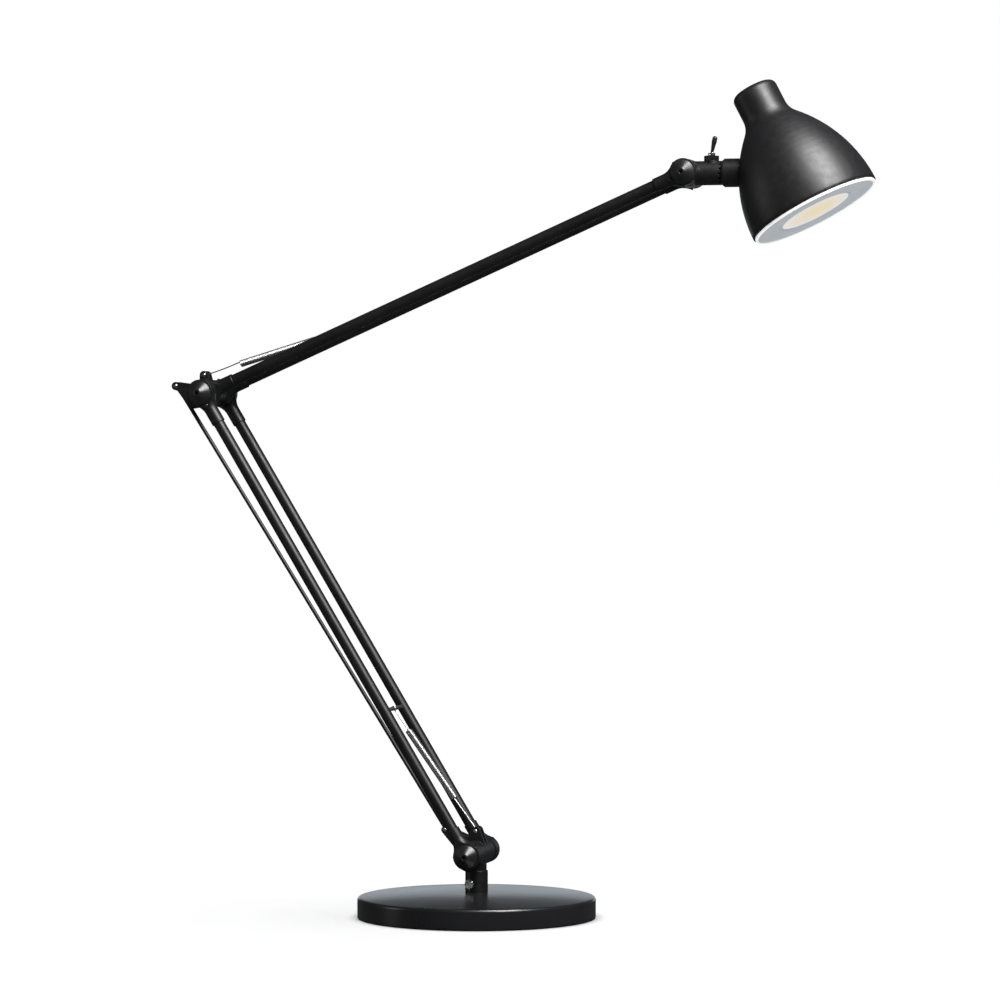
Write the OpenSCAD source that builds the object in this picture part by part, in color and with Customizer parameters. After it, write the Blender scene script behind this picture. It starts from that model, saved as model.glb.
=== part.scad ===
// Swing arm desk lamp: weighted round base, two sprung double-tube arms,
// an elbow bracket held level by a tie rod, and a bell shade with an LED insert.
// Millimetres, +Z up. The origin is the centre of the base on the table top.
// The arms swing in the XZ plane, and the near side of the lamp is -Y.

/* [Base] */
// Radius of the round base
base_r = 100; // [80:1:130]
// Height of the base at its rim
base_rim_h = 17.5; // [15:0.5:22]
// Rise of the domed top from the rim to the post
dome_rise = 4; // [2:0.5:6]
// Radius of the fixed post
post_r = 9.5; // [9:0.1:12]
// Height of the top of the post above the table
post_top = 39.7; // [36:0.1:40]

/* [Arms] */
// Height of the base pivot above the table
pivot_z = 54; // [54:0.5:70]
// Distance between the pivots of each arm
arm_len = 450; // [350:1:550]
// Backward lean of the lower arm from the vertical
lower_lean = 31; // [20:0.5:38]
// Rise of the upper arm above the horizontal
upper_rise = 23.65; // [0:0.05:45]
// Outer radius of the arm tubes
tube_r = 4.8; // [4:0.1:5.4]
// Distance of the lower tubes from the centre plane
lower_tube_y = 29.4; // [29.4:0.1:34]
// Distance of the upper tubes from the centre plane
upper_tube_y = 17.3; // [17.2:0.1:17.3]
// Distance of each spring cross pin from the lower pivot of its arm
cross_pin_at = 140; // [110:1:180]

/* [Tie rod] */
// Distance of the rod's lower pin from the base pivot
base_crank_r = 32.6; // [30:0.1:34]
// Angle of the base crank from +X
base_crank = 143.9; // [140:0.1:147]
// Distance of the rod's upper pin from the elbow pivot
elbow_crank_r = 31.7; // [30:0.1:34]
// Angle of the elbow crank from +X
elbow_crank = 168.7; // [164:0.1:172]
// Radius of the rod
rod_r = 1.7; // [1.4:0.1:2.2]

/* [Head] */
// Length of the horizontal stem from the head pivot
stem_len = 28.4; // [26:0.1:29]
// Tilt of the shade's axis from the vertical
shade_tilt = 27.8; // [20:0.1:35]
// Turn of the shade about the stem, towards the near side
shade_turn = 3.7; // [0:0.1:15]
// Radius of the shade's mouth
mouth_r = 55.9; // [50:0.1:62]
// Length of the shade along its axis
shade_len = 114.3; // [108:0.1:125]
// Radius of the shade's neck
neck_r = 19.3; // [18:0.1:24]
// Lean of the switch lever from the vertical
lever_lean = 12; // [8:1:14]

/* [Hidden] */
$fn = 64;

// Fits, as radial clearances
run_fit = 0.05;
slip_fit = 0.02;
// Side gap between parts that turn against each other
side_gap = 0.3;

// Base
cover_t = 1.5;
pad_t = 2;
rim_edge_r = 2.5;
hub_flat_r = 11;
hub_top = base_rim_h + dome_rise;
spigot_r = 8;
spigot_bottom = 4.5;
post_bore_r = 6.3;
spindle_r = 5;
nut_top = 9;
weight_top = base_rim_h - 3.2;
weight_r = base_r - 5;
grommet_angle = 135;
grommet_z = 8;
bush_flange_r = 8.2;
bush_flange_t = 0.6;
screw_z = 28.3;
screw_angle = 23;

// Pivots
axle_r = 4;
knuckle_r = 11.3;
knuckle_w = 11.8;
mouth_wall = 0.95;
lower_inner_y = lower_tube_y - knuckle_w / 2;
lower_outer_y = lower_tube_y + knuckle_w / 2;
upper_inner_y = upper_tube_y - knuckle_w / 2;
upper_outer_y = upper_tube_y + knuckle_w / 2;
yoke_half = lower_inner_y - side_gap;
bracket_half = upper_inner_y - side_gap;
base_reach = 25.7;
elbow_reach = 29.5;
upper_reach = 27;
head_reach = 26.7;
socket_floor = 13;
tube_wall = 1;
cap_r = 10.2;
cap_h = 8.2;
cap_socket_r = 1.7;
axle_in_cap = 3.2;
set_screw_r = 1;
set_screw_at = 11.9;

// Clevis cheeks and pins
cheek_in = 3.2;
cheek_out = 5.7;
pin_r = 1.5;
pin_hole_r = 1.53;
pin_head_r = 1.75;
pin_head_t = 0.5;
low_hub_r = 2.6;
hub_r = 3.4;
hub_half = 2.9;
open_hub_bore_r = 2.5;
base_anchor = [0.4, 18.6];
elbow_anchor = [-6, 15.5];
base_rod_pin = base_crank_r * [cos(base_crank), sin(base_crank)];
elbow_rod_pin_at = elbow_crank_r * [cos(elbow_crank), sin(elbow_crank)];
ear_foot = [-17.8, -12.2];

// Places of the pivots in the XZ plane
base_at = [0, pivot_z];
elbow_at = base_at + arm_len * [-sin(lower_lean), cos(lower_lean)];
head_at = elbow_at + arm_len * [cos(upper_rise), sin(upper_rise)];
rod_from = base_at + base_rod_pin;
rod_to = elbow_at + elbow_rod_pin_at;

// Springs
cross_pin_r = 1.7;
groove_r = 1.2;
spring_r = 3.1;
spring_bore_r = 2.1;
spring_len = 69.4;
hook_wire_r = 0.7;
lower_coil_start = 21.7;
upper_coil_start = 37.9;
lower_cross = base_at + cross_pin_at * [-sin(lower_lean), cos(lower_lean)];
upper_cross = elbow_at + cross_pin_at * [cos(upper_rise), sin(upper_rise)];
lower_anchor_at = base_at + base_anchor;
upper_anchor_at = elbow_at + elbow_anchor;

// Head
head_barrel_r = 11.5;
stem_r = 10;
stem_bore_r = 8.42;
stem_bore_from = 12.5;
notch_count = 15;
notch_r = 1.1;
notch_x = stem_len - 0.4;
switch_x = 19.6;
switch_size = [10, 7.6, 9];
bushing_r = 3;
bushing_top = 16.6;
nut_seat_z = 10.1;
nut_t = 4.7;
nut_r = 6.3;
lever_pivot_z = 15.4;
lever_pin_r = 0.7;
lever_len = 15.4;

// Collar and shade, in the frame of the head pivot
collar_r = 11.8;
collar_chamfer = 2.2;
collar_from = stem_len + side_gap;
collar_reach = 30;
mouth_at = [106.2, -31.7];
bell_arc_r = 118;
neck_fillet_r = 17.2;
neck_edge_r = 5.5;
shade_t = 1.2;
lip_inner_r = 52.4;
lip_h = 5.5;
lip_proud = 2;
plate_z = -1.4;
plate_t = 1.2;
plate_hole_r = 32.4;
window_r = 30.2;
board_z = 5;
sink_z = 8.6;

function dist(a, b) = norm(b - a);
function angle_to(a, b) = atan2(b[1] - a[1], b[0] - a[0]);
// Points of a round stretch about centre c, from angle a0 to a1 in n steps
function arc(c, r, a0, a1, n) =
    [for (i = [0:n]) c + r * [cos(a0 + (a1 - a0) * i / n), sin(a0 + (a1 - a0) * i / n)]];

// A cylinder along Y from y0 to y1
module y_rod(r, y0, y1) {
    translate([0, y1, 0]) rotate([90, 0, 0]) cylinder(r = r, h = y1 - y0);
}

// A flat plate in the XZ plane, from y0 to y1
module y_plate(y0, y1) {
    translate([0, y1, 0]) rotate([90, 0, 0]) linear_extrude(y1 - y0) children();
}

// The children once on each side of the centre plane
module both_sides() {
    children();
    mirror([0, 1, 0]) children();
}

// Two discs joined along their outer tangents, drawn a hair inside them so that the edges cross
module link(p, rp, q, rq) {
    a = angle_to(p, q);
    b = acos((rp - rq) / dist(p, q));
    kp = 0.999 * rp;
    kq = 0.999 * rq;
    translate(p) circle(rp);
    translate(q) circle(rq);
    polygon([
        p + kp * [cos(a + b), sin(a + b)], q + kq * [cos(a + b), sin(a + b)],
        q + kq * [cos(a - b), sin(a - b)], p + kp * [cos(a - b), sin(a - b)]
    ]);
}

module in_plane(p) translate([p[0], 0, p[1]]) children();

// Frames of the moving bodies; arms run along +Z of their own frame
module lower_frame() in_plane(base_at) rotate([0, -lower_lean, 0]) children();
module upper_frame() in_plane(elbow_at) rotate([0, 90 - upper_rise, 0]) children();
module head_frame() in_plane(head_at) children();
module shade_frame()
    head_frame() rotate([-shade_turn, 0, 0]) in_plane(mouth_at)
        rotate([0, -shade_tilt, 0]) children();
module flip_arm() translate([0, 0, arm_len]) rotate([0, 180, 0]) children();

// ---- base ----

module base_pad() color("dimgray")
    cylinder(r = base_r - 4, h = pad_t, $fn = 128);

module base_weight() color("slategray")
    difference() {
        union() {
            translate([0, 0, pad_t]) cylinder(r = weight_r, h = weight_top - pad_t, $fn = 128);
            translate([0, 0, pad_t]) cylinder(r = 14, h = hub_top - cover_t - pad_t - 0.05);
        }
        translate([0, 0, -1]) cylinder(r = spigot_r + 0.1, h = hub_top + 2);
        translate([0, 0, -1]) cylinder(r = 14.5, h = nut_top + 1);
        // Channel for the lead, from the nut recess to the rim
        rotate([0, 0, grommet_angle])
            translate([10, -3, pad_t - 1]) cube([weight_r, 6, grommet_z + 1]);
    }

// Outer skin of the base in half section, from the rim to the hub
function dome_z(r) =
    base_rim_h + dome_rise * (1 - pow((r - hub_flat_r) / (base_r - rim_edge_r - hub_flat_r), 2));
function dome_points(drop) =
    [for (i = [0:12]) let (r = base_r - rim_edge_r - (base_r - rim_edge_r - hub_flat_r) * i / 12)
        [r, dome_z(r) - drop]];

module base_cover() color([0.08, 0.08, 0.09])
    difference() {
        rotate_extrude($fn = 160) polygon(concat(
            [[base_r, 0.8]],
            arc([base_r - rim_edge_r, base_rim_h - rim_edge_r], rim_edge_r, 0, 90, 6),
            dome_points(0),
            [[spigot_r + 0.1, hub_top], [spigot_r + 0.1, hub_top - cover_t]],
            [for (i = [12:-1:0]) dome_points(cover_t)[i]],
            [[base_r - cover_t, base_rim_h - rim_edge_r], [base_r - cover_t, 0.8]]
        ));
        rotate([0, 0, grommet_angle]) translate([base_r - 5, 0, grommet_z])
            rotate([0, 90, 0]) cylinder(r = 4, h = 10);
    }

module cord_grommet() color("black")
    rotate([0, 0, grommet_angle]) translate([0, 0, grommet_z]) rotate([0, 90, 0])
        difference() {
            union() {
                translate([0, 0, base_r - 4.9]) cylinder(r = 3.95, h = 5);
                translate([0, 0, base_r + 0.1]) cylinder(r = 5.2, h = 1.4);
            }
            translate([0, 0, base_r - 6]) cylinder(r = 2.6, h = 10);
        }

module post() color([0.08, 0.08, 0.09])
    difference() {
        union() {
            translate([0, 0, spigot_bottom]) cylinder(r = spigot_r, h = hub_top - spigot_bottom);
            translate([0, 0, hub_top]) cylinder(r = post_r, h = post_top - hub_top - 0.5);
            translate([0, 0, post_top - 0.5]) cylinder(r1 = post_r, r2 = post_r - 0.5, h = 0.5);
        }
        translate([0, 0, spigot_bottom - 1]) cylinder(r = post_bore_r, h = post_top);
        rotate([0, 0, -90 - screw_angle]) translate([0, 0, screw_z])
            rotate([0, 90, 0]) cylinder(r = 2.05, h = post_r + 1);
    }

module post_nut() color("silver")
    translate([0, 0, spigot_bottom]) difference() {
        cylinder(r = 12.5, h = nut_top - spigot_bottom - 0.1, $fn = 6);
        translate([0, 0, -1]) cylinder(r = spigot_r + slip_fit, h = nut_top);
    }

module swivel_bush() color("black")
    difference() {
        union() {
            translate([0, 0, spigot_bottom])
                cylinder(r = post_bore_r - slip_fit, h = post_top - spigot_bottom);
            translate([0, 0, post_top]) cylinder(r = bush_flange_r, h = bush_flange_t);
        }
        translate([0, 0, spigot_bottom - 1]) cylinder(r = spindle_r + run_fit, h = post_top);
    }

module clamp_screw() color("gainsboro")
    rotate([0, 0, -90 - screw_angle]) translate([0, 0, screw_z]) rotate([0, 90, 0])
        difference() {
            union() {
                translate([0, 0, post_bore_r + 0.1]) cylinder(r = 2, h = post_r - post_bore_r);
                translate([0, 0, post_r + 0.05]) cylinder(r = 4.2, h = 1.5);
                translate([0, 0, post_r + 1.55]) cylinder(r1 = 4.2, r2 = 3.2, h = 1);
            }
            for (a = [0, 90]) rotate([0, 0, a + 20])
                translate([-4, -0.5, post_r + 1.3]) cube([8, 1, 2]);
        }

// ---- swivelling yoke ----

module yoke() color([0.08, 0.08, 0.09])
    difference() {
        union() {
            translate([0, 0, nut_top]) cylinder(r = spindle_r, h = pivot_z - nut_top);
            translate([0, 0, post_top + bush_flange_t + 0.05])
                cylinder(r = post_r - 1, h = pivot_z - post_top - bush_flange_t);
            in_plane(base_at) {
                y_rod(knuckle_r - 0.5, -yoke_half, yoke_half);
                y_plate(-yoke_half, -yoke_half + 4) intersection() {
                    circle(knuckle_r + 2.6);
                    translate([-20, -20]) square([40, 14]);
                }
                both_sides() y_plate(cheek_in, cheek_out) {
                    link([0, 0], knuckle_r - 0.7, base_anchor, 4);
                    link([0, 0], knuckle_r - 0.7, base_rod_pin, 2.9);
                }
            }
        }
        in_plane(base_at) {
            y_rod(axle_r + run_fit, -40, 40);
            for (p = [base_anchor, base_rod_pin]) in_plane(p) y_rod(pin_hole_r, -20, 20);
        }
    }

// A pin through a pair of cheeks, with a low dome on each end
module clevis_pin() color("silver") {
    y_rod(pin_r, -cheek_out - 0.1, cheek_out + 0.1);
    both_sides() translate([0, cheek_out + 0.05, 0]) rotate([-90, 0, 0])
        cylinder(r1 = pin_head_r, r2 = pin_head_r - 0.6, h = pin_head_t);
}

module spring_anchor_pin() in_plane(lower_anchor_at) clevis_pin();
module rod_pivot_pin() in_plane(rod_from) clevis_pin();

// ---- knuckles, caps and axles ----

// Radius of a knuckle's socket at distance s from its pivot
function socket_outer(s) = tube_r + mouth_wall + 0.042 * pow(max(0, 17 - s), 2);

// A turning end of an arm: a disc on the axle and a flared socket for the tube, along +Z
module knuckle(inner_y, reach, bore_fit) {
    mid_y = inner_y + knuckle_w / 2;
    difference() {
        union() {
            y_rod(knuckle_r, inner_y, inner_y + knuckle_w);
            intersection() {
                translate([0, mid_y, 0]) rotate_extrude() polygon(concat(
                    [[0, 4]],
                    [for (s = [5:2:17]) [socket_outer(s), s]],
                    [[socket_outer(reach), reach - 0.4], [socket_outer(reach) - 0.4, reach], [0, reach]]
                ));
                translate([-20, inner_y, 0]) cube([40, knuckle_w, reach + 1]);
            }
        }
        y_rod(axle_r + bore_fit, inner_y - 1, inner_y + knuckle_w + 1);
        translate([0, mid_y, socket_floor]) cylinder(r = tube_r + slip_fit, h = reach);
    }
}

// The conical cap nut on the end of an axle, with its face on y
module cap_nut(y) color([0.1, 0.1, 0.11])
    translate([0, y, 0]) rotate([-90, 0, 0]) rotate_extrude() polygon([
        [axle_r + slip_fit, 0], [cap_r, 0], [cap_r, 1], [cap_r - 0.5, 1.9],
        [3.2, cap_h - 0.3], [2.6, cap_h], [cap_socket_r, cap_h], [cap_socket_r, cap_h - 3],
        [0, cap_h - 3], [0, axle_in_cap + 0.2], [axle_r + slip_fit, axle_in_cap + 0.2]
    ]);

module arm_axle(outer_y) color("silver")
    y_rod(axle_r, -outer_y - axle_in_cap, outer_y + axle_in_cap);

module arm_tube(y, from, to) color([0.08, 0.08, 0.09])
    difference() {
        translate([0, y, from]) cylinder(r = tube_r, h = to - from);
        translate([0, y, from - 1]) cylinder(r = tube_r - tube_wall, h = to - from + 2);
        translate([0, 0, cross_pin_at]) y_rod(cross_pin_r + slip_fit, 0, y);
    }

// The pin across an arm that its spring pulls on, with a groove for the hook
module cross_pin(tube_y) color("gray")
    translate([0, 0, cross_pin_at]) difference() {
        y_rod(cross_pin_r, -tube_y + tube_r - tube_wall, tube_y - tube_r + tube_wall);
        difference() {
            y_rod(cross_pin_r + 1, -1, 1);
            y_rod(groove_r, -2, 2);
        }
    }

// Small screws that hold the tubes in their sockets, on the outer faces of a pair of knuckles
module set_screws(outer_y) color("gainsboro")
    both_sides() translate([0, 0, set_screw_at]) difference() {
        y_rod(set_screw_r, outer_y + 0.02, outer_y + 0.5);
        translate([-2, outer_y + 0.3, -0.15]) cube([4, 1, 0.3]);
    }

module black_knuckle(side, inner_y, reach, fit) color([0.08, 0.08, 0.09])
    mirror([0, side == "near" ? 1 : 0, 0]) knuckle(inner_y, reach, fit);

// ---- lower arm ----

module base_knuckle(side) lower_frame() black_knuckle(side, lower_inner_y, base_reach, slip_fit);
module elbow_knuckle(side)
    lower_frame() flip_arm() black_knuckle(side, lower_inner_y, elbow_reach, slip_fit);
module lower_tube(side) lower_frame() mirror([0, side == "near" ? 1 : 0, 0])
    arm_tube(lower_tube_y, socket_floor, arm_len - socket_floor);
module base_axle() in_plane(base_at) arm_axle(lower_outer_y);
module elbow_axle() in_plane(elbow_at) arm_axle(lower_outer_y);
module cap(at, side, y) in_plane(at) mirror([0, side == "near" ? 1 : 0, 0]) cap_nut(y);

// ---- springs ----

// The close-wound coil with a straight shank and an eye round a pin at the origin, along +Z
module coil_with_eye(start) color("gainsboro") {
    eye(groove_r);
    translate([0, 0, groove_r + hook_wire_r])
        cylinder(r = hook_wire_r, h = start - groove_r - hook_wire_r + 0.6, $fn = 16);
    translate([0, 0, start]) difference() {
        cylinder(r = spring_r, h = spring_len);
        translate([0, 0, 1]) cylinder(r = spring_bore_r, h = spring_len);
    }
}

// The eye at the end of a spring's wire, round a pin
module eye(pin) difference() {
    y_rod(pin + 2 * hook_wire_r, -hook_wire_r, hook_wire_r);
    y_rod(pin + slip_fit, -2, 2);
}

// The straight hook from an eye round a pin at the origin to the coil, along +Z
module long_hook(length) color("gainsboro") {
    eye(pin_r);
    translate([0, 0, pin_r + hook_wire_r])
        cylinder(r = hook_wire_r, h = length - pin_r - hook_wire_r, $fn = 16);
}

module aim(from, to) in_plane(from) rotate([0, 90 - angle_to(from, to), 0]) children();

module lower_spring() aim(lower_cross, lower_anchor_at) coil_with_eye(lower_coil_start);
module upper_spring() aim(upper_cross, upper_anchor_at) coil_with_eye(upper_coil_start);
module lower_spring_hook() aim(lower_anchor_at, lower_cross)
    long_hook(dist(lower_anchor_at, lower_cross) - lower_coil_start - spring_len + 2);
module upper_spring_hook() aim(upper_anchor_at, upper_cross)
    long_hook(dist(upper_anchor_at, upper_cross) - upper_coil_start - spring_len + 2);

// ---- tie rod ----

module tie_rod() color([0.08, 0.08, 0.09])
    aim(rod_from, rod_to) difference() {
        union() {
            y_rod(low_hub_r, -hub_half, hub_half);
            cylinder(r = rod_r, h = dist(rod_from, rod_to));
            translate([0, 0, dist(rod_from, rod_to)]) y_rod(hub_r, -hub_half, hub_half);
        }
        y_rod(pin_r + run_fit, -hub_half - 1, hub_half + 1);
        translate([0, 0, dist(rod_from, rod_to)]) y_rod(open_hub_bore_r, -hub_half - 1, hub_half + 1);
    }

// ---- elbow bracket ----

module elbow_bracket() color([0.08, 0.08, 0.09])
    in_plane(elbow_at) difference() {
        union() {
            y_rod(knuckle_r - 1, -bracket_half, bracket_half);
            both_sides() y_plate(cheek_in, cheek_out) {
                link(elbow_anchor, 3.5, [-4.8, 5], 5.2);
                link([0, 0], 5.6, elbow_rod_pin_at, 3.5);
                link([0, 0], knuckle_r - 1.2, ear_foot, 0.8);
                link(elbow_rod_pin_at, 1.15, ear_foot, 0.8);
                polygon([[0, 0], elbow_rod_pin_at, ear_foot]);
            }
        }
        y_rod(axle_r + run_fit, -40, 40);
        for (p = [elbow_anchor, elbow_rod_pin_at]) in_plane(p) y_rod(pin_hole_r, -20, 20);
    }

module elbow_spring_pin() in_plane(upper_anchor_at) clevis_pin();
module elbow_rod_pin() in_plane(rod_to) clevis_pin();

// ---- upper arm ----

module upper_knuckle(side) upper_frame() black_knuckle(side, upper_inner_y, upper_reach, run_fit);
module head_knuckle(side)
    upper_frame() flip_arm() black_knuckle(side, upper_inner_y, head_reach, slip_fit);
module upper_tube(side) upper_frame() mirror([0, side == "near" ? 1 : 0, 0])
    arm_tube(upper_tube_y, socket_floor, arm_len - socket_floor);
module head_axle() in_plane(head_at) arm_axle(upper_outer_y);

// ---- head ----

module head_stem() color([0.1, 0.1, 0.11])
    head_frame() difference() {
        union() {
            y_rod(head_barrel_r, -bracket_half, bracket_half);
            rotate([0, 90, 0]) cylinder(r = stem_r, h = stem_len);
            translate([switch_x, 0, 5]) cylinder(r = nut_r, h = nut_seat_z - 5);
        }
        y_rod(axle_r + run_fit, -20, 20);
        translate([stem_bore_from, 0, 0]) rotate([0, 90, 0]) cylinder(r = stem_bore_r, h = stem_len);
        translate([switch_x, 0, 0]) cylinder(r = bushing_r + 0.05, h = 20);
        for (i = [0:notch_count - 1]) rotate([i * 360 / notch_count, 0, 0])
            translate([notch_x, 0, stem_bore_r - 1]) cylinder(r = notch_r, h = 4, $fn = 20);
    }

module switch_body() color("silver")
    head_frame() translate([switch_x, 0, 0]) difference() {
        union() {
            translate([-switch_size[0] / 2, -switch_size[1] / 2, -2])
                cube(switch_size);
            cylinder(r = bushing_r, h = bushing_top);
        }
        translate([0, 0, 11]) cylinder(r1 = 1.4, r2 = 2.4, h = bushing_top);
        translate([0, 0, lever_pivot_z]) y_rod(lever_pin_r + run_fit, -4, 4);
    }

module switch_nut() color([0.06, 0.06, 0.06])
    head_frame() translate([switch_x, 0, nut_seat_z + 0.02]) difference() {
        cylinder(r = nut_r, h = nut_t - 0.6, $fn = 6);
        translate([0, 0, -1]) cylinder(r = bushing_r + slip_fit, h = nut_t + 2);
    }

module switch_lever() color("black")
    head_frame() translate([switch_x, 0, lever_pivot_z]) rotate([0, lever_lean, 0]) {
        rotate_extrude() polygon(concat(
            [[0, -1], [0.9, -1], [1.1, 1.2], [1.3, 3.2], [2.1, lever_len - 4.5]],
            arc([0, lever_len - 2.05], 2.05, 0, 90, 6)
        ));
        y_rod(lever_pin_r, -2.4, 2.4);
    }

// ---- shade ----

bell_c = [mouth_r - bell_arc_r, 0];
fillet_h = sqrt(pow(bell_arc_r + neck_fillet_r, 2) - pow(neck_r + neck_fillet_r - bell_c[0], 2));
fillet_c = [neck_r + neck_fillet_r, fillet_h];
bell_end = angle_to(bell_c, fillet_c);

// Outer outline of the bell drawn in by t, from the mouth to the top of the neck
function bell_outline(t) = concat(
    arc(bell_c, bell_arc_r - t, 0, bell_end, 16),
    arc(fillet_c, neck_fillet_r + t, 180 + bell_end, 180, 5),
    arc([neck_r - neck_edge_r, shade_len - neck_edge_r], neck_edge_r - t, 0, 90, 5)
);

module bell_solid(t) rotate_extrude($fn = 128)
    polygon(concat([[0, 0]], bell_outline(t), [[0, shade_len - t]]));

module shade() color([0.07, 0.07, 0.08])
    shade_frame() difference() {
        bell_solid(0);
        difference() {
            bell_solid(shade_t);
            translate([0, 0, shade_len - shade_t]) cylinder(r = neck_r, h = 5);
        }
        translate([0, 0, -1]) cylinder(r = mouth_r - shade_t, h = 1.5, $fn = 128);
        // Bevel round the outer edge of the mouth
        rotate_extrude($fn = 128) polygon([
            [mouth_r - 0.9, -0.1], [mouth_r + 0.5, -0.1], [mouth_r + 0.5, 1.3]
        ]);
        in_shade_stem_hole();
    }

// The lead's way through the side of the shade, along the stem's axis
module in_shade_stem_hole()
    rotate([0, shade_tilt, 0]) in_plane(-mouth_at) rotate([0, 90, 0])
        cylinder(r = 4, h = mouth_at[0] - 20);

module shade_collar() color([0.1, 0.1, 0.11])
    difference() {
        head_frame() rotate([-shade_turn, 0, 0]) rotate([0, 90, 0]) rotate_extrude() polygon([
            [4, collar_from - 3.2], [stem_bore_r - 0.07, collar_from - 3.2],
            [stem_bore_r - 0.07, collar_from], [stem_r, collar_from],
            [collar_r, collar_from + collar_chamfer], [collar_r, collar_from + collar_reach],
            [4, collar_from + collar_reach]
        ]);
        shade_frame() bell_solid(0);
    }

lip_outer_r = mouth_r - shade_t - 0.15;

module lip_ring() color("white")
    shade_frame() rotate_extrude($fn = 128) polygon([
        [lip_outer_r - 0.6, -lip_proud], [lip_outer_r, 0.6 - lip_proud], [lip_outer_r, lip_h],
        [lip_inner_r, lip_h], [lip_inner_r, 0.4 - lip_proud], [lip_inner_r + 0.4, -lip_proud]
    ]);

module led_plate() color([0.66, 0.7, 0.74])
    shade_frame() translate([0, 0, plate_z]) difference() {
        cylinder(r = lip_inner_r - 0.05, h = plate_t, $fn = 128);
        translate([0, 0, -1]) cylinder(r = plate_hole_r, h = 5);
    }

module diffuser_ring() color([0.6, 0.7, 0.8])
    shade_frame() rotate_extrude($fn = 96) polygon([
        [window_r, plate_z + 0.3], [plate_hole_r - 0.05, plate_z - 0.1],
        [plate_hole_r - 0.05, plate_z + plate_t + 1], [window_r, plate_z + plate_t + 1]
    ]);

module diffuser() color([1, 0.93, 0.75])
    shade_frame() translate([0, 0, plate_z + 0.3]) cylinder(r = window_r - 0.05, h = 1.6, $fn = 96);

module led_board() color("white")
    shade_frame() {
        translate([0, 0, board_z]) cylinder(r = 28, h = 1.6);
        for (ring = [1:2], i = [0:6 * ring - 1]) rotate([0, 0, i * 60 / ring])
            translate([ring * 10 - 1.5, -1.5, board_z - 0.8]) cube([3, 3, 0.8]);
    }

module heat_sink() color("silver")
    shade_frame() translate([0, 0, sink_z]) {
        cylinder(r = 12, h = 22);
        for (fin = [0:4]) translate([0, 0, fin * 5]) cylinder(r = 34 - fin * 1.5, h = 1.6);
    }

// ---- nodes ----

base_pad();
base_weight();
base_cover();
cord_grommet();
post();
post_nut();
swivel_bush();
clamp_screw();
yoke();
spring_anchor_pin();
rod_pivot_pin();
lower_spring_hook();
base_knuckle("near");  // base_knuckle_near
base_knuckle("far");  // base_knuckle_far
base_axle();
cap(base_at, "near", lower_outer_y);  // base_cap_near
cap(base_at, "far", lower_outer_y);  // base_cap_far
lower_tube("near");  // lower_tube_near
lower_tube("far");  // lower_tube_far
lower_frame() cross_pin(lower_tube_y);  // lower_cross_pin
lower_spring();
elbow_knuckle("near");  // elbow_knuckle_near
elbow_knuckle("far");  // elbow_knuckle_far
elbow_axle();
cap(elbow_at, "near", lower_outer_y);  // elbow_cap_near
cap(elbow_at, "far", lower_outer_y);  // elbow_cap_far
lower_frame() flip_arm() set_screws(lower_outer_y);  // lower_set_screws
tie_rod();
elbow_bracket();
elbow_spring_pin();
elbow_rod_pin();
upper_spring_hook();
upper_knuckle("near");  // upper_knuckle_near
upper_knuckle("far");  // upper_knuckle_far
upper_tube("near");  // upper_tube_near
upper_tube("far");  // upper_tube_far
upper_frame() cross_pin(upper_tube_y);  // upper_cross_pin
upper_spring();
head_knuckle("near");  // head_knuckle_near
head_knuckle("far");  // head_knuckle_far
head_axle();
cap(head_at, "near", upper_outer_y);  // head_cap_near
cap(head_at, "far", upper_outer_y);  // head_cap_far
head_stem();
switch_body();
switch_nut();
switch_lever();
shade_collar();
shade();
lip_ring();
led_plate();
diffuser_ring();
diffuser();
led_board();
heat_sink();
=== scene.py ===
import math

import bpy
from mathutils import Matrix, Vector


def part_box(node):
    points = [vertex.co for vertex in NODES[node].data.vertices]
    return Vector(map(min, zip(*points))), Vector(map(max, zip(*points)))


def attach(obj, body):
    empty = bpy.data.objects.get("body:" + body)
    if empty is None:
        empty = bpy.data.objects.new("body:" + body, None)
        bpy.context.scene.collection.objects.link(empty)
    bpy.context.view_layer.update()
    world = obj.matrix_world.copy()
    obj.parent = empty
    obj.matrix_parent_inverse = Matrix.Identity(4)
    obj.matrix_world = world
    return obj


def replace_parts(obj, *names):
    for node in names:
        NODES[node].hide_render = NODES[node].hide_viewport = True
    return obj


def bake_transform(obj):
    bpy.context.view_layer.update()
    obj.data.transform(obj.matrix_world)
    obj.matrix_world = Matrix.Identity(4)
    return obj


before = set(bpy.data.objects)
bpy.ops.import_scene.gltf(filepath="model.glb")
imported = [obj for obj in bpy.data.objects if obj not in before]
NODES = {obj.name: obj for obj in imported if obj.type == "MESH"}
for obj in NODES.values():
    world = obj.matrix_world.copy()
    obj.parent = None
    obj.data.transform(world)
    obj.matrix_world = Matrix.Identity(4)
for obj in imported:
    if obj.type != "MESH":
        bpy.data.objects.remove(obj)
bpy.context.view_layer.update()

MM = 0.001


def centre(node):
    low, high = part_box(node)
    return (low + high) / 2


# ---- materials ----

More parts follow.
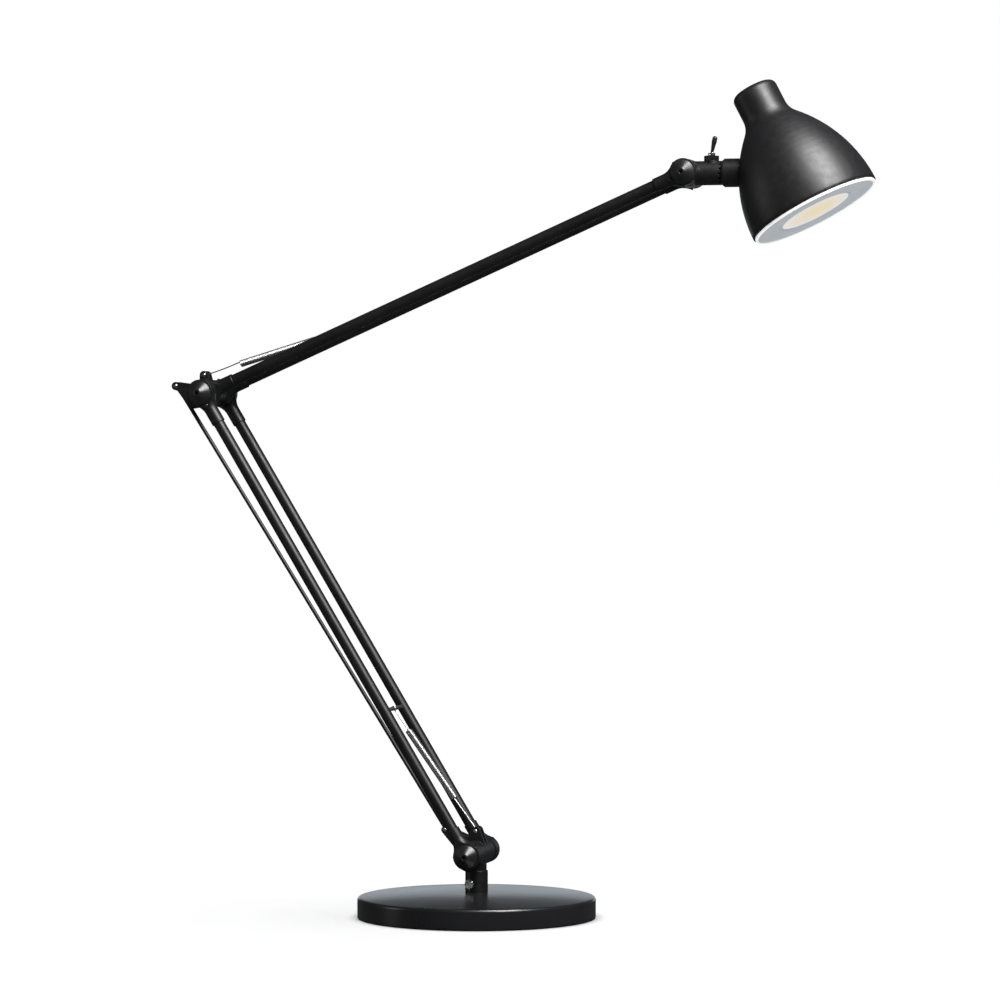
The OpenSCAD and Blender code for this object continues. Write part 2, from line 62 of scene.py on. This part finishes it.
class Surface:
    """A Principled material with object-space texture nodes wired to it."""

    def __init__(self, name, **constants):
        self.material = bpy.data.materials.new(name)
        self.material.use_nodes = True
        self.tree = self.material.node_tree
        self.bsdf = self.tree.nodes["Principled BSDF"]
        self.place = self.node("ShaderNodeTexCoord").outputs["Object"]
        for socket, value in constants.items():
            self.bsdf.inputs[socket.replace("_", " ")].default_value = value

    def node(self, kind, **inputs):
        made = self.tree.nodes.new(kind)
        for socket, value in inputs.items():
            self.set(made, socket.replace("_", " "), value)
        return made

    def set(self, made, socket, value):
        if isinstance(value, bpy.types.NodeSocket):
            self.tree.links.new(value, made.inputs[socket])
        else:
            made.inputs[socket].default_value = value

    def noise(self, scale, detail=3.0, stretch=None):
        """A noise whose features are about 1 / scale metres; stretch squeezes it along each axis."""
        vector = self.place
        if stretch:
            vector = self.node("ShaderNodeMapping", Vector=vector, Scale=stretch).outputs["Vector"]
        return self.node("ShaderNodeTexNoise", Vector=vector, Scale=scale, Detail=detail).outputs["Fac"]

    def spread(self, value, low, high, reach=(0.3, 0.7)):
        """Maps the middle of a noise onto low to high."""
        made = self.node("ShaderNodeMapRange", Value=value)
        for socket, number in zip(("From Min", "From Max", "To Min", "To Max"), (*reach, low, high)):
            made.inputs[socket].default_value = number
        return made.outputs["Result"]

    def ramp(self, value, *stops):
        made = self.node("ShaderNodeValToRGB", Fac=value)
        elements = made.color_ramp.elements
        while len(elements) < len(stops):
            elements.new(0.5)
        for element, (at, colour) in zip(elements, stops):
            element.position, element.color = at, (*colour, 1)
        return made.outputs["Color"]

    def colour(self, value, *stops):
        self.set(self.bsdf, "Base Color", self.ramp(value, *stops))
        return self

    def roughness(self, value, low, high):
        self.set(self.bsdf, "Roughness", self.spread(value, low, high))
        return self

    def relief(self, *layers, edge=0.0, samples=4):
        """Bumps from (height, depth in metres) layers, over edges that look rounded to the radius edge."""
        normal = None
        if edge:
            bevel = self.node("ShaderNodeBevel", Radius=edge)
            bevel.samples = samples
            normal = bevel.outputs["Normal"]
        for height, depth in layers:
            bump = self.node("ShaderNodeBump", Height=height, Distance=depth, Strength=1.0)
            if normal:
                self.set(bump, "Normal", normal)
            normal = bump.outputs["Normal"]
        self.set(self.bsdf, "Normal", normal)
        return self


def grey(level, blue=0.0):
    return (level, level, level * (1 + blue))


def gloss_enamel():
    s = Surface("gloss_black_enamel", Coat_Weight=0.2, Coat_Roughness=0.12, Specular_IOR_Level=0.5)
    s.colour(s.noise(9), (0.35, grey(0.005, 0.1)), (0.65, grey(0.008, 0.12)))
    s.roughness(s.noise(12, 1), 0.27, 0.31)
    return s.relief((s.noise(25, 1), 0.000001), edge=0.0006)


def satin_paint():
    s = Surface("satin_black_paint", Specular_IOR_Level=0.42)
    s.colour(s.noise(30), (0.35, grey(0.0035, 0.06)), (0.65, grey(0.0055, 0.1)))
    s.roughness(s.noise(260, 5), 0.36, 0.46)
    return s.relief((s.noise(2600, 2), 0.000008), edge=0.0005)


def shade_paint():
    """The bell's powder coat; its wide rounding also evens out the bands of the bell's outline."""
    s = Surface("fine_satin_powder_coat", Specular_IOR_Level=0.5)
    s.colour(s.noise(14), (0.35, grey(0.0045, 0.1)), (0.65, grey(0.0065, 0.12)))
    s.roughness(s.noise(180, 5), 0.4, 0.48)
    return s.relief((s.noise(3200, 2), 0.00001), edge=0.004, samples=12)


def black_plastic():
    s = Surface("moulded_black_plastic", Specular_IOR_Level=0.5)
    s.colour(s.noise(60), (0.35, grey(0.006)), (0.65, grey(0.01, 0.05)))
    s.roughness(s.noise(500, 4), 0.28, 0.36)
    return s.relief((s.noise(1800, 2), 0.000004), edge=0.0005)


def black_rubber():
    s = Surface("black_rubber", Specular_IOR_Level=0.3)
    s.colour(s.noise(80), (0.3, grey(0.012)), (0.7, grey(0.03)))
    s.roughness(s.noise(700, 4), 0.6, 0.8)
    return s.relief((s.noise(1800, 4), 0.00004))


def foam_pad():
    s = Surface("rubber_pad", Specular_IOR_Level=0.25)
    s.colour(s.noise(400, 6), (0.3, grey(0.014)), (0.7, grey(0.04)))
    s.roughness(s.noise(900, 4), 0.75, 0.95)
    return s.relief((s.noise(1400, 6), 0.00012))


def turned_steel(name, level, low, high):
    """Plated steel with fine turning marks round the Y axis."""
    s = Surface(name, Metallic=1.0, Anisotropic=0.4)
    s.colour(s.noise(90, 5), (0.3, grey(level * 0.82, 0.03)), (0.7, grey(level, 0.02)))
    s.roughness(s.noise(300, 4), low, high)
    return s.relief((s.noise(1, 2, (300, 9000, 300)), 0.00001), edge=0.0003)


def bright_wire():
    """Drawn spring wire, with faint marks and a little dulling in the plating."""
    s = Surface("bright_spring_wire", Metallic=1.0)
    s.colour(s.noise(300, 5), (0.3, grey(0.5, 0.02)), (0.7, grey(0.68, 0.01)))
    s.roughness(s.noise(900, 4), 0.3, 0.4)
    return s.relief((s.noise(4000, 3), 0.00001))


def chrome():
    s = Surface("polished_chrome", Metallic=1.0)
    s.colour(s.noise(150, 4), (0.3, grey(0.82, 0.01)), (0.7, grey(0.94)))
    s.roughness(s.noise(800, 4), 0.22, 0.32)
    return s.relief((s.noise(2500, 2), 0.000006), edge=0.0003)


def cast_iron():
    s = Surface("cast_iron", Metallic=1.0)
    s.colour(s.noise(120, 6), (0.3, grey(0.08)), (0.7, grey(0.17, 0.03)))
    s.roughness(s.noise(300, 5), 0.55, 0.8)
    return s.relief((s.noise(500, 6), 0.0003))


def bare_aluminium():
    s = Surface("cast_aluminium", Metallic=1.0)
    s.colour(s.noise(200, 5), (0.3, grey(0.6)), (0.7, grey(0.74, 0.02)))
    s.roughness(s.noise(400, 5), 0.35, 0.5)
    return s.relief((s.noise(1500, 4), 0.00003))


def white_lip_painted_glow():
    # The faint white emission is a painted glow: it stands in for light falling on the white lip, which
    # gives off no light of its own.
    s = Surface("white_lip_painted_glow", Specular_IOR_Level=0.2, Emission_Color=(1, 1, 1, 1), Emission_Strength=0.08)
    s.colour(s.noise(80), (0.3, (0.9, 0.905, 0.91)), (0.7, (0.95, 0.955, 0.96)))
    s.roughness(s.noise(600, 4), 0.25, 0.36)
    return s.relief((s.noise(2500, 2), 0.00001))


def reflector_plate():
    """Matt blue-grey lacquer with a very fine pebbled grain."""
    s = Surface("blue_grey_plate", Specular_IOR_Level=0.35)
    s.colour(s.noise(60, 4), (0.3, (0.45, 0.49, 0.52)), (0.7, (0.49, 0.53, 0.56)))
    s.roughness(s.noise(900, 4), 0.42, 0.55)
    return s.relief((s.noise(2200, 3), 0.00002))


def pale_blue_ring():
    s = Surface("pale_blue_ring", Specular_IOR_Level=0.4)
    s.colour(s.noise(60, 2), (0.3, (0.4, 0.49, 0.6)), (0.7, (0.44, 0.53, 0.63)))
    s.roughness(s.noise(700, 4), 0.3, 0.4)
    return s.relief((s.noise(1800, 2), 0.000004))


def frosted_diffuser():
    """A frosted window: the LED's yellow phosphor shows in the middle and pales outwards."""
    core, rim, unevenness = 4 * MM, 33 * MM, 6 * MM
    s = Surface("frosted_diffuser", Specular_IOR_Level=0.4, Emission_Strength=0.14)
    # The phosphor shows a little off centre
    middle = centre("diffuser") + Vector((2, 0, 1)) * MM
    away = s.node("ShaderNodeVectorMath", Vector=s.place)
    away.operation = "DISTANCE"
    away.inputs[1].default_value = middle
    cloud = s.node("ShaderNodeMath")
    cloud.operation = "MULTIPLY_ADD"
    s.set(cloud, 0, s.noise(70, 3))
    cloud.inputs[1].default_value = unevenness
    s.set(cloud, 2, away.outputs["Value"])
    glow = s.ramp(
        s.spread(cloud.outputs["Value"], 0, 1, reach=(core, rim)),
        (0.0, (0.84, 0.73, 0.44)), (0.4, (0.82, 0.74, 0.52)),
        (0.75, (0.82, 0.76, 0.66)), (1.0, (0.82, 0.78, 0.74)),
    )
    s.set(s.bsdf, "Base Color", glow)
    s.set(s.bsdf, "Emission Color", glow)
    s.roughness(s.noise(900, 4), 0.35, 0.5)
    return s.relief((s.noise(2600, 2), 0.00002))


def board_white():
    s = Surface("white_board", Specular_IOR_Level=0.4)
    s.colour(s.noise(300, 4), (0.3, grey(0.7)), (0.7, grey(0.82)))
    s.roughness(s.noise(900, 4), 0.3, 0.5)
    return s.relief((s.noise(2000, 2), 0.00001))


def pale_floor():
    s = Surface("pale_floor", Specular_IOR_Level=0.2)
    s.colour(s.noise(1.2, 3), (0.3, grey(0.9)), (0.7, grey(0.92)))
    s.roughness(s.noise(12, 4), 0.6, 0.75)
    return s.relief((s.noise(200, 3), 0.00002))


SIDES = ("near", "far")
ARM_PARTS = ("base_knuckle", "elbow_knuckle", "upper_knuckle", "head_knuckle", "lower_tube", "upper_tube")
CAPPED_JOINTS = ("base", "elbow", "head")
FINISHES = {
    gloss_enamel: ["base_cover"],
    foam_pad: ["base_pad"],
    cast_iron: ["base_weight"],
    black_rubber: ["cord_grommet"],
    chrome: ["clamp_screw"],
    satin_paint: [
        "post", "yoke", "tie_rod", "elbow_bracket", "head_stem", "shade_collar",
        *[f"{part}_{side}" for side in SIDES for part in ARM_PARTS],
    ],
    black_plastic: [
        "swivel_bush", "switch_nut", "switch_lever",
        *[f"{joint}_cap_{side}" for joint in CAPPED_JOINTS for side in SIDES],
    ],
    shade_paint: ["shade"],
    white_lip_painted_glow: ["lip_ring"],
    reflector_plate: ["led_plate"],
    pale_blue_ring: ["diffuser_ring"],
    frosted_diffuser: ["diffuser"],
    board_white: ["led_board"],
    bare_aluminium: ["heat_sink"],
}
BRIGHT = ["lower_set_screws", "switch_body", "post_nut"]
PLATED = [
    "spring_anchor_pin", "rod_pivot_pin", "elbow_spring_pin", "elbow_rod_pin",
    "base_axle", "elbow_axle", "head_axle",
]
DULL = ["lower_cross_pin", "upper_cross_pin"]


def finish_node(node, material):
    NODES[node].data.materials.clear()
    NODES[node].data.materials.append(material)


def finish_frame():
    for make, nodes in FINISHES.items():
        material = make().material
        for node in nodes:
            finish_node(node, material)
    for nodes, surface in (
        (BRIGHT, turned_steel("bright_steel", 0.78, 0.16, 0.3)),
        (PLATED, turned_steel("plated_steel", 0.6, 0.22, 0.36)),
        (DULL, turned_steel("dull_steel", 0.22, 0.35, 0.5)),
    ):
        for node in nodes:
            finish_node(node, surface.material)


# ---- wires and springs ----

WIRE = bright_wire().material
COIL_WIRE_R = 0.52 * MM
# From the coil's axis to the middle of its wire
COIL_R = 3.1 * MM - COIL_WIRE_R
COIL_LENGTH = 69.4 * MM
# Spacing of the turns, in wire radii: touching turns would be 2 apart
TURN_PITCH = 2.06
# Part of a turn over which the wire swings out from the shank to the coil
RUN_OUT = 0.8
# From the end of the straight shank to the first turn
SHANK_GAP = 1.5 * MM
SHANK_STEPS = 14
TURN_STEPS = 18
WIRE_SIDES = 8
HOOK_STEPS = 40
HOOK_SIDES = 12
GROOVE_R = 1.2 * MM
ANCHOR_PIN_R = 1.5 * MM
EYE_SLACK = 0.05 * MM


def sweep(name, points, radius, sides=WIRE_SIDES):
    """A round wire along points, with domed ends of two rings and a small flat each."""
    points = [Vector(p) for p in points]
    tangents = [
        (points[min(i + 1, len(points) - 1)] - points[max(i - 1, 0)]).normalized()
        for i in range(len(points))
    ]
    across = tangents[0].orthogonal().normalized()
    rings = []
    for point, tangent in zip(points, tangents):
        across = (across - tangent * across.dot(tangent)).normalized()
        rings.append((point, tangent, across, radius))
    first, last = rings[0], rings[-1]
    domes = ((0.5, 0.866), (0.86, 0.5))  # (distance past the end, ring radius), in wire radii
    start = [(first[0] - first[1] * radius * a, first[1], first[2], radius * b) for a, b in reversed(domes)]
    end = [(last[0] + last[1] * radius * a, last[1], last[2], radius * b) for a, b in domes]
    verts, faces = [], []
    for point, tangent, side, r in start + rings + end:
        up = tangent.cross(side)
        for k in range(sides):
            a = 2 * math.pi * k / sides
            verts.append(point + side * (r * math.cos(a)) + up * (r * math.sin(a)))
    count = len(verts) // sides
    for i in range(count - 1):
        for k in range(sides):
            a, b = i * sides + k, i * sides + (k + 1) % sides
            faces.append((a, b, b + sides, a + sides))
    faces.append(tuple(reversed(range(sides))))
    faces.append(tuple(range((count - 1) * sides, count * sides)))
    mesh = bpy.data.meshes.new(name)
    mesh.from_pydata(verts, [], faces)
    mesh.polygons.foreach_set("use_smooth", [True] * len(mesh.polygons))
    mesh.materials.append(WIRE)
    piece = bpy.data.objects.new(name, mesh)
    bpy.context.scene.collection.objects.link(piece)
    return piece


def eye(pin, along, across, radius, turn=300, steps=26):
    """Points of an open loop round a pin, ending on the line that runs along from it."""
    return [
        pin + (along * math.cos(a) + across * math.sin(a)) * radius
        for a in (math.radians(-turn + turn * i / steps) for i in range(steps))
    ]


def line(start, end, steps):
    return [start.lerp(end, i / steps) for i in range(steps + 1)]


def spring_frame(pin, anchor):
    along = (anchor - pin).normalized()
    across = Vector((along.z, 0, -along.x))
    return along, across


def wound_spring(name, node, pin, anchor, coil_at, body):
    """A close-wound extension spring: an eye round its cross pin, a shank and the coil."""
    along, across = spring_frame(pin, anchor)
    side = along.cross(across)
    turns = int(COIL_LENGTH / (TURN_PITCH * COIL_WIRE_R))
    loop = GROOVE_R + COIL_WIRE_R + EYE_SLACK
    path = eye(pin, along, across, loop)
    path += line(pin + along * loop, pin + along * (coil_at - SHANK_GAP), SHANK_STEPS)
    steps = turns * TURN_STEPS
    for i in range(steps + 1):
        t = i / TURN_STEPS
        a = 2 * math.pi * t
        r = COIL_R * min(1, t / RUN_OUT)
        path.append(pin + along * (coil_at + COIL_LENGTH * i / steps)
                    + (across * math.cos(a) + side * math.sin(a)) * r)
    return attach(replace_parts(sweep(name, path, COIL_WIRE_R), node), body)


def hook_wire(name, node, pin, anchor, coil_at, wire_r, lift):
    """The hook wire from the anchor pin into the coil's mouth, bowed by lift to one side of the axis."""
    into_coil, tip_reach, tip_drop = 1.6 * MM, 0.8 * MM, 1.2 * MM
    along, across = spring_frame(anchor, pin)
    mouth = pin - along * (coil_at + COIL_LENGTH)
    loop = ANCHOR_PIN_R + wire_r + EYE_SLACK
    start, end = anchor + along * loop, mouth + along * into_coil
    path = eye(anchor, along, across, loop)
    for i, point in enumerate(line(start, end, HOOK_STEPS)):
        path.append(point - across * (lift * (i / HOOK_STEPS) ** 2))
    path.append(end + along * tip_reach - across * (lift - tip_drop))
    piece = sweep(name, path, wire_r, HOOK_SIDES)
    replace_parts(piece, node)
    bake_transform(piece)
    return piece


def springs():
    for arm, anchor_node, near_body, coil_at, wire_r, lift in (
        ("lower", "spring_anchor_pin", "yoke", 21.7 * MM, 0.7 * MM, 0.6 * MM),
        ("upper", "elbow_spring_pin", "elbow_bracket", 37.9 * MM, 0.5 * MM, 1.9 * MM),
    ):
        pin, anchor = centre(f"{arm}_cross_pin"), centre(anchor_node)
        body = f"{arm}_arm"
        wound_spring(f"{arm}_coil", f"{arm}_spring", pin, anchor, coil_at, body)
        hook_wire(
            f"{arm}_hook_wire", f"{arm}_spring_hook", pin, anchor, coil_at, wire_r, lift
        )


# ---- stage, light and camera ----

WHITE = (1, 1, 1)
ROOM = (0.93, 0.96, 1)
COOL = (0.84, 0.93, 1)


def stage():
    """A wide pale floor, a white sky for the camera and a dim room for everything else."""
    bpy.ops.mesh.primitive_circle_add(vertices=96, radius=30, fill_type="NGON", location=(0, 0, -0.0001))
    floor = bpy.context.object
    floor.name = "floor"
    floor.data.materials.append(pale_floor().material)
    floor.visible_glossy = False  # its reflection would brighten every lower edge

    world = bpy.data.worlds.new("studio")
    bpy.context.scene.world = world
    world.use_nodes = True
    tree = world.node_tree
    backdrop = tree.nodes["Background"]
    backdrop.inputs["Color"].default_value = (*WHITE, 1)
    backdrop.inputs["Strength"].default_value = 1.0
    room = tree.nodes.new("ShaderNodeBackground")
    room.inputs["Color"].default_value = (*ROOM, 1)
    room.inputs["Strength"].default_value = 0.06
    ray = tree.nodes.new("ShaderNodeLightPath")
    mix = tree.nodes.new("ShaderNodeMixShader")
    tree.links.new(ray.outputs["Is Camera Ray"], mix.inputs["Fac"])
    tree.links.new(room.outputs["Background"], mix.inputs[1])
    tree.links.new(backdrop.outputs["Background"], mix.inputs[2])
    tree.links.new(mix.outputs["Shader"], tree.nodes["World Output"].inputs["Surface"])


def softbox(name, azimuth, elevation, distance, width, height, power, target, tint):
    """An area light round the lamp that spares the floor; azimuth 0 is the -Y side and 90 the +X side."""
    a, e = math.radians(azimuth), math.radians(elevation)
    light = bpy.data.lights.new(name, "AREA")
    light.shape, light.size, light.size_y, light.energy = "RECTANGLE", width, height, power
    light.color = tint
    lamp = bpy.data.objects.new(name, light)
    bpy.context.scene.collection.objects.link(lamp)
    towards = Vector((math.sin(a) * math.cos(e), -math.cos(a) * math.cos(e), math.sin(e)))
    lamp.location = target + towards * distance
    lamp.rotation_euler = towards.to_track_quat("Z", "Y").to_euler()
    spared = bpy.data.collections.new(f"{name}_spares")
    spared.objects.link(bpy.data.objects["floor"])
    spared.collection_objects[0].light_linking.link_state = "EXCLUDE"
    lamp.light_linking.receiver_collection = spared


def floor_sun():
    """A broad even light that reaches only the floor, so that it stays pale to the horizon."""
    sun = bpy.data.objects.new("floor_sun", bpy.data.lights.new("floor_sun", "SUN"))
    sun.data.energy, sun.data.angle = 3.7, math.radians(70)
    bpy.context.scene.collection.objects.link(sun)
    lit = bpy.data.collections.new("lit_by_floor_sun")
    lit.objects.link(bpy.data.objects["floor"])
    sun.light_linking.receiver_collection = lit


def lights():
    middle = Vector((0.02, 0, 0.4))
    for name, azimuth, elevation, distance, width, height, power, tint in (
        ("key", 51, 49, 2.4, 1.25, 1.75, 150, WHITE),
        ("fill", -74, 5, 2.6, 0.6, 1.5, 5, WHITE),
        ("back_sweep", 190, -2, 3.4, 2.6, 0.6, 5.2, COOL),
    ):
        softbox(name, azimuth, elevation, distance, width, height, power, middle, tint)
    floor_sun()


def camera():
    """A long lens at the photograph's height and angle, turned a little down and aside to frame the lamp."""
    azimuth, distance, height = math.radians(14.3), 3.5, 0.404
    down, aside = math.radians(0.886), math.radians(0.3214)
    data = bpy.data.cameras.new("camera")
    data.sensor_width, data.lens = 36, 150.5
    lens = bpy.data.objects.new("camera", data)
    lens.location = (distance * math.sin(azimuth), -distance * math.cos(azimuth), height)
    lens.rotation_euler = (math.pi / 2 - down, 0, azimuth - aside)
    bpy.context.scene.collection.objects.link(lens)
    bpy.context.scene.camera = lens
    bpy.context.scene.view_settings.view_transform = "Standard"


finish_frame()
springs()
stage()
lights()
camera()
